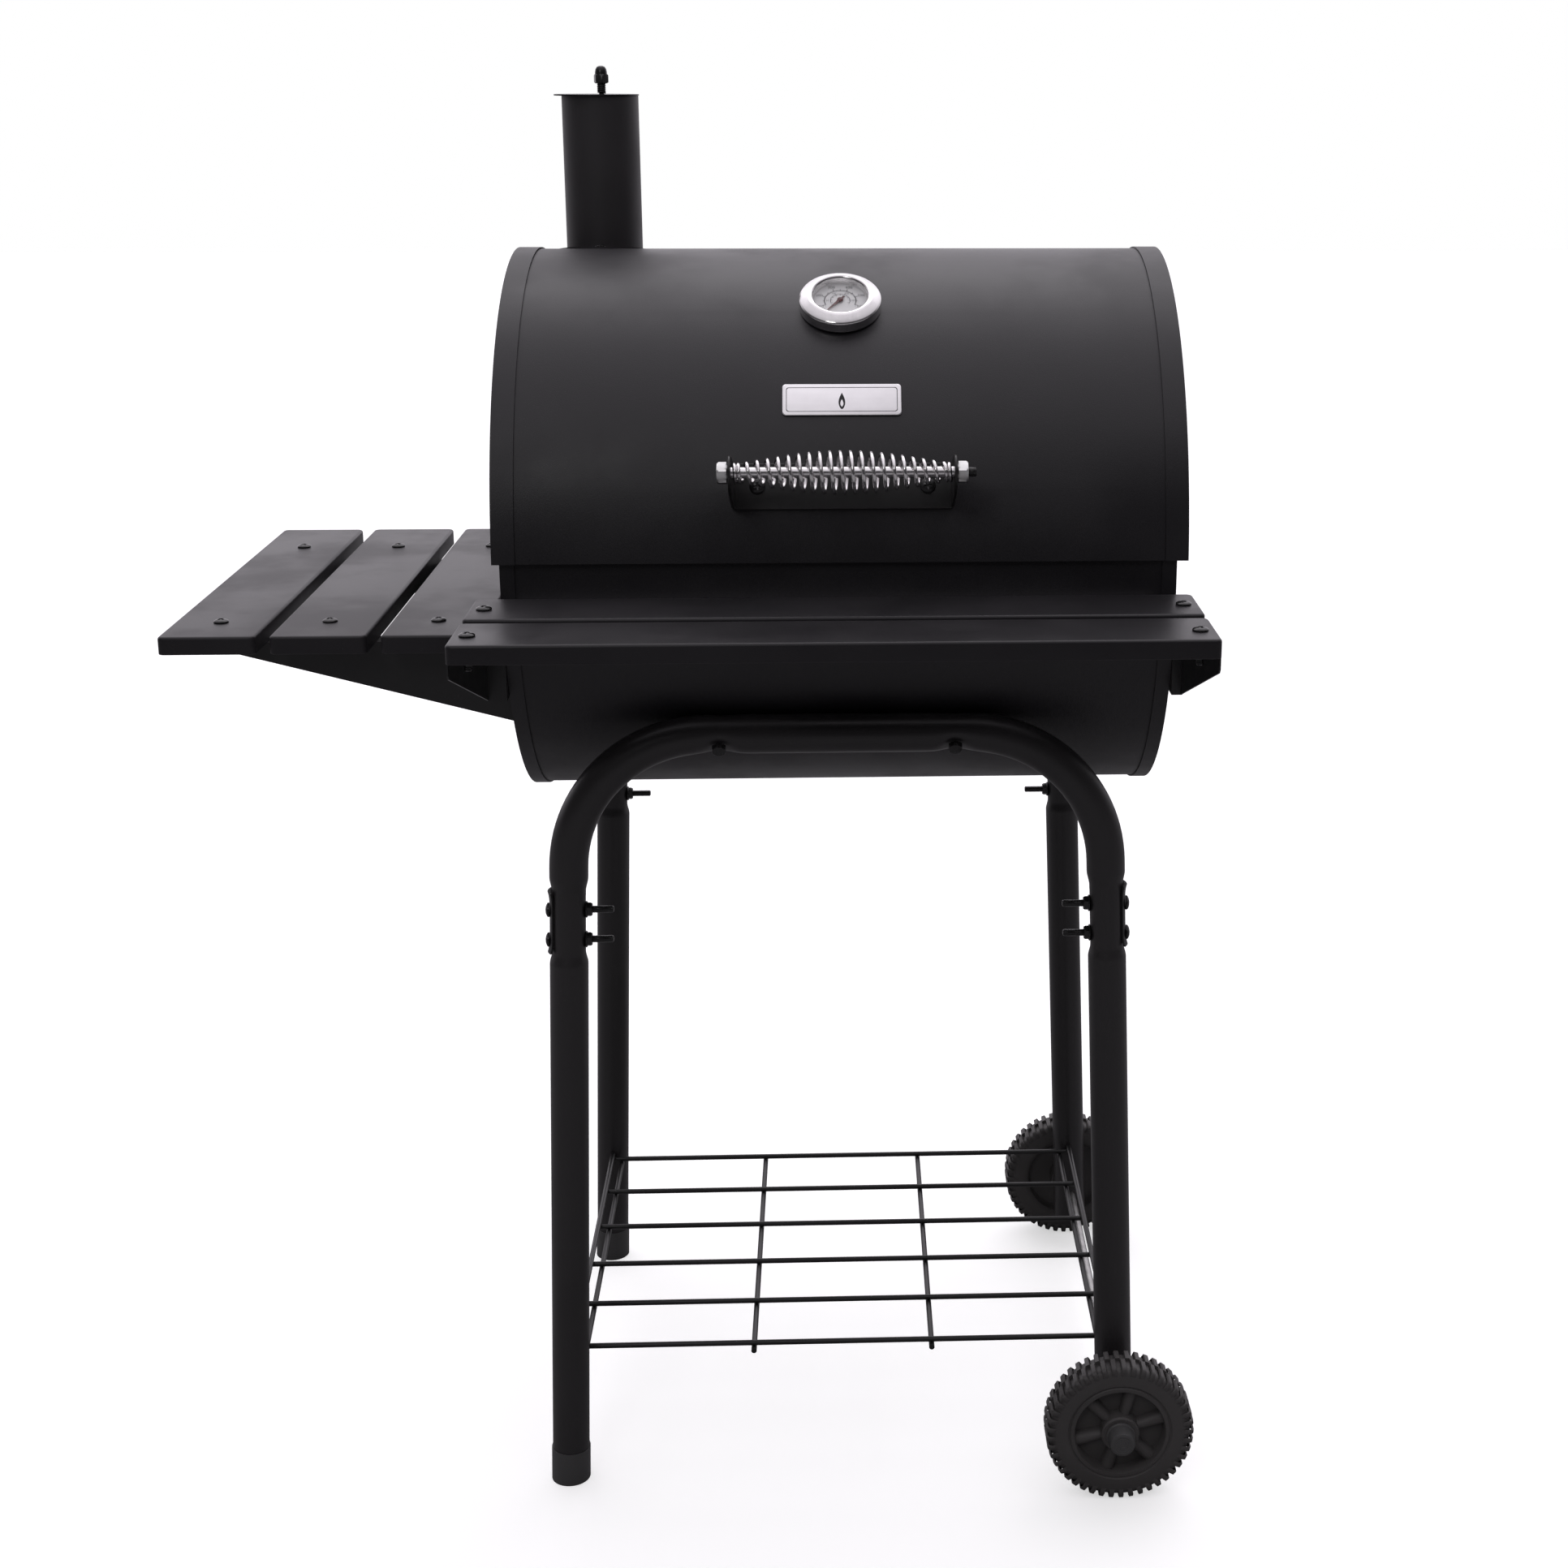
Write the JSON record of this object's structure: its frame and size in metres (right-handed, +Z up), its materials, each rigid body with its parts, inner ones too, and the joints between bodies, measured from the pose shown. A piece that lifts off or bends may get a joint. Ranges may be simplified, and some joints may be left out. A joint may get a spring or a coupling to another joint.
{
  "type": "barrel charcoal grill",
  "caption": "Barrel charcoal grill on splayed tube legs with wheels, hinged lid, chimney with damper, thermometer, coil handle, front and side slat shelves and a wire shelf.",
  "frame": {"origin": "on the floor, under the middle of the whole grill's bounding box", "axes": "+X to the grill's right hand side as its user faces it (wheel side), +Y from the user towards the back, +Z up"},
  "size_m": [0.835, 0.6726, 1.198],
  "materials": {
    "barrel_paint": "semi-matte black baked paint",
    "chimney_paint": "semi-matte black baked paint",
    "shelf_paint": "satin black powder coat",
    "leg_paint": "satin black powder coat",
    "bracket_paint": "satin black powder coat",
    "wire_paint": "satin black powder coat on wire",
    "black_bolt": "black oxide, lightly glossy",
    "zinc": "white zinc plating",
    "damper_steel": "bare pressed steel",
    "handle_steel": "bright chrome plated wire",
    "gauge_steel": "polished stainless steel",
    "gauge_dial": "printed pale dial",
    "gauge_glass": "clear flat glass",
    "gauge_pointer": "dark red paint",
    "badge_steel": "satin stainless plate, plain",
    "grate": "chrome plated wire",
    "fire_grate": "dark heat-stained wire",
    "axle_steel": "zinc plated rod",
    "cap_plastic": "moulded black plastic",
    "wheel_plastic": "moulded black plastic"
  },
  "bodies": {
    "stand": {"air_damper_screw": "black_bolt", "axle": "axle_steel", "axle_caps": "cap_plastic", "bracket_bolts": "black_bolt", "foot_caps": "cap_plastic", "front_bracket_left": "bracket_paint", "front_bracket_right": "bracket_paint", "front_slat_inner": "shelf_paint", "front_slat_outer": "shelf_paint", "grate_ledges": "bracket_paint", "hinge_brackets": "bracket_paint", "hinge_pins": "zinc", "leg_frame_bolts": "black_bolt", "leg_joint_bolts": "black_bolt", "leg_joint_plates": "bracket_paint", "lower_leg_front_left": "leg_paint", "lower_leg_front_right": "leg_paint", "lower_leg_rear_left": "leg_paint", "lower_leg_rear_right": "leg_paint", "side_bracket_front": "bracket_paint", "side_bracket_rear": "bracket_paint", "side_slat_inner": "shelf_paint", "side_slat_middle": "shelf_paint", "side_slat_outer": "shelf_paint", "slat_bolts": "black_bolt", "tub_end_cap_left": "barrel_paint", "tub_end_cap_right": "barrel_paint", "tub_shell": "barrel_paint", "upper_leg_front_left": "leg_paint", "upper_leg_front_right": "leg_paint", "upper_leg_rear_left": "leg_paint", "upper_leg_rear_right": "leg_paint", "wire_shelf": "wire_paint"},
    "lid": {"lid_shell": "barrel_paint", "lid_end_cap_left": "barrel_paint", "lid_end_cap_right": "barrel_paint", "hinge_leaves": "bracket_paint", "chimney_pipe": "chimney_paint", "chimney_flange": "chimney_paint", "damper_screw": "black_bolt", "damper_spring": "black_bolt", "lid_bolts": "black_bolt", "thermometer_case": "gauge_steel", "thermometer_dial": "gauge_dial", "thermometer_lens": "gauge_glass", "thermometer_nut": "zinc", "nameplate": "badge_steel", "handle_bracket": "bracket_paint", "handle_rod": "handle_steel", "handle_nut": "zinc"},
    "chimney_damper": {"chimney_damper": "damper_steel"},
    "pointer": {"thermometer_pointer": "gauge_pointer"},
    "grip": {"handle_coil": "handle_steel"},
    "air_damper": {"air_damper": "barrel_paint"},
    "cooking_grate_left": {"cooking_grate_left": "grate"},
    "cooking_grate_right": {"cooking_grate_right": "grate"},
    "fire_grate": {"fire_grate": "fire_grate"},
    "wheel_front": {"wheel_front": "wheel_plastic"},
    "wheel_rear": {"wheel_rear": "wheel_plastic"}
  },
  "joints": [
    {"name": "lid_hinge", "type": "hinge", "parent": "stand", "child": "lid", "pos_m": [0.12105, 0.31045, 0.826], "axis": [-1, 0, 0], "range_deg": [0, 95]},
    {"name": "chimney_damper_swivel", "type": "hinge", "parent": "lid", "child": "chimney_damper", "pos_m": [-0.08045, 0.12095, 1.1728], "axis": [0, 0, 1], "range_deg": [0, 110]},
    {"name": "thermometer_pointer_turn", "type": "hinge", "parent": "lid", "child": "pointer", "pos_m": [0.12155, -0.06439, 1.01724], "axis": [0, 0.5373, -0.8434], "range_deg": [0, 270]},
    {"name": "handle_grip_spin", "type": "hinge", "parent": "lid", "child": "grip", "pos_m": [0.12205, -0.21055, 0.903], "axis": [1, 0, 0], "continuous": true},
    {"name": "air_damper_turn", "type": "hinge", "parent": "stand", "child": "air_damper", "pos_m": [0.38405, 0.06445, 0.69], "axis": [1, 0, 0], "range_deg": [0, 60]},
    {"name": "cooking_grate_left_lift", "type": "slide", "parent": "stand", "child": "cooking_grate_left", "axis": [0, 0, 1], "range_m": [0, 0.05]},
    {"name": "cooking_grate_right_lift", "type": "slide", "parent": "stand", "child": "cooking_grate_right", "axis": [0, 0, 1], "range_m": [0, 0.05]},
    {"name": "fire_grate_lift", "type": "slide", "parent": "stand", "child": "fire_grate", "axis": [0, 0, 1], "range_m": [0, 0.06]},
    {"name": "wheel_front_spin", "type": "hinge", "parent": "stand", "child": "wheel_front", "pos_m": [0.35355, -0.17415, 0.0639], "axis": [0, 1, 0], "continuous": true},
    {"name": "wheel_rear_spin", "type": "hinge", "parent": "stand", "child": "wheel_rear", "pos_m": [0.35355, 0.30305, 0.0639], "axis": [0, 1, 0], "continuous": true}
  ]
}
